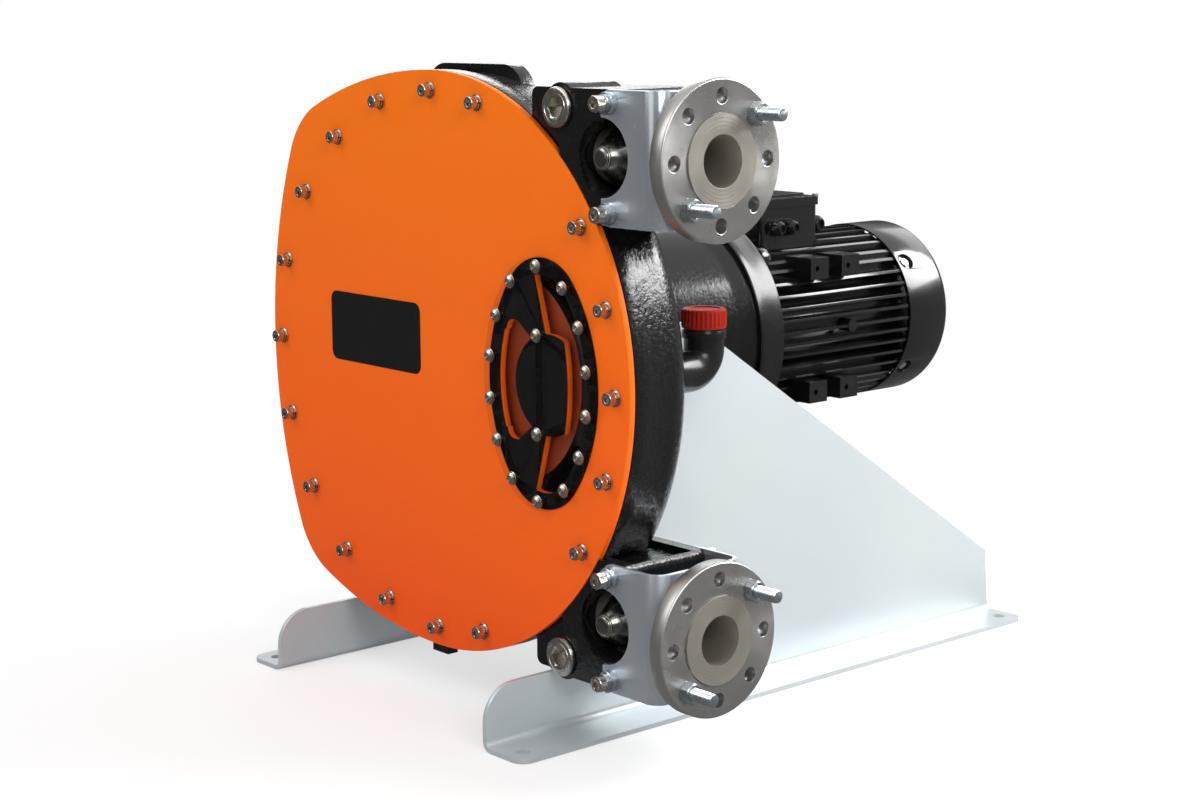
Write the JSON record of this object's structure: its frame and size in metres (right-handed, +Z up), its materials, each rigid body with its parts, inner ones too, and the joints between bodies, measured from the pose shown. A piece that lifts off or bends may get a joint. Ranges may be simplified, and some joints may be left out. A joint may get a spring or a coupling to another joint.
{
  "type": "peristaltic hose pump",
  "caption": "Peristaltic hose pump: orange front cover with an oval window, two flanged ports on one side, coaxial geared motor behind, folded steel stand.",
  "frame": {"origin": "centre of the four foot bolt holes, on the ground", "axes": "+Z up, +Y from the cover back along the drive axis to the motor, +X to the side of the two ports"},
  "size_m": [0.874, 0.961, 0.8115],
  "materials": {
    "black_casting": "coarse gloss",
    "orange_paint": "smooth gloss",
    "black_paint": "smooth gloss",
    "rotor_paint": "satin",
    "zinc_sheet": "satin",
    "stainless": "satin",
    "plated_steel": "bright",
    "machined_steel": "satin",
    "shoe_alloy": "satin",
    "black_rubber": "matt",
    "black_plastic": "satin",
    "label_film": "satin",
    "red_plastic": "satin",
    "smoked_pane": "clear"
  },
  "bodies": {
    "pump": {"casing": "black_casting", "cover_gasket": "black_rubber", "cover_plate": "orange_paint", "cover_screws": "plated_steel", "cover_washers": "plated_steel", "window_gasket": "black_rubber", "window_pane": "smoked_pane", "window_screws": "plated_steel", "label_plate": "label_film", "pump_hose": "black_rubber", "hose_seals": "black_rubber", "hose_insert_top": "stainless", "hose_insert_bottom": "stainless", "port_flange_top": "stainless", "port_flange_bottom": "stainless", "port_bracket_top": "zinc_sheet", "port_bracket_bottom": "zinc_sheet", "bracket_screws": "plated_steel", "bracket_spacers": "plated_steel", "port_plug_top": "plated_steel", "port_plug_bottom": "plated_steel", "plug_seals": "black_rubber", "flange_studs": "plated_steel", "stud_nuts": "plated_steel", "frame_left": "zinc_sheet", "frame_right": "zinc_sheet", "frame_bolts": "plated_steel", "bearing_housing": "black_casting", "housing_bolts": "plated_steel", "gearbox": "black_casting", "motor_adaptor": "black_paint", "adaptor_bolts": "plated_steel", "shaft_bearings": "machined_steel", "shaft_seal": "black_rubber", "motor_front_shield": "black_paint", "motor_body": "black_paint", "motor_rear_shield": "black_paint", "motor_bearings": "machined_steel", "fan_cowl": "black_paint", "cowl_screws": "plated_steel", "terminal_box": "black_paint", "terminal_lid": "black_paint", "lid_screws": "plated_steel", "cable_glands": "black_plastic", "filler_elbow": "black_plastic"},
    "rotor": {"drive_shaft": "machined_steel", "rotor_key": "machined_steel", "rotor_wheel": "rotor_paint", "press_shoe_left": "shoe_alloy", "press_shoe_right": "shoe_alloy", "shoe_screws": "plated_steel", "lobe_screws": "plated_steel", "rotor_cap": "black_paint", "rotor_cap_screw": "plated_steel"},
    "motor_rotor": {"motor_shaft": "machined_steel", "motor_core": "machined_steel", "cooling_fan": "black_plastic"},
    "cap": {"filler_cap": "red_plastic"}
  },
  "joints": [
    {"name": "rotor_turn", "type": "hinge", "parent": "pump", "child": "rotor", "pos_m": [0, -0.313, 0.435], "axis": [0, 1, 0], "continuous": true, "deforming": ["pump_hose"]},
    {"name": "motor_turn", "type": "hinge", "parent": "pump", "child": "motor_rotor", "pos_m": [0, 0.2, 0.435], "axis": [0, 1, 0], "continuous": true},
    {"name": "filler_cap_lift", "type": "slide", "parent": "pump", "child": "cap", "axis": [0, 0, 1], "range_m": [0, 0.03]}
  ],
  "couplings": [
    {"joint": "motor_turn", "follows": "rotor_turn", "ratio": 31.5}
  ]
}
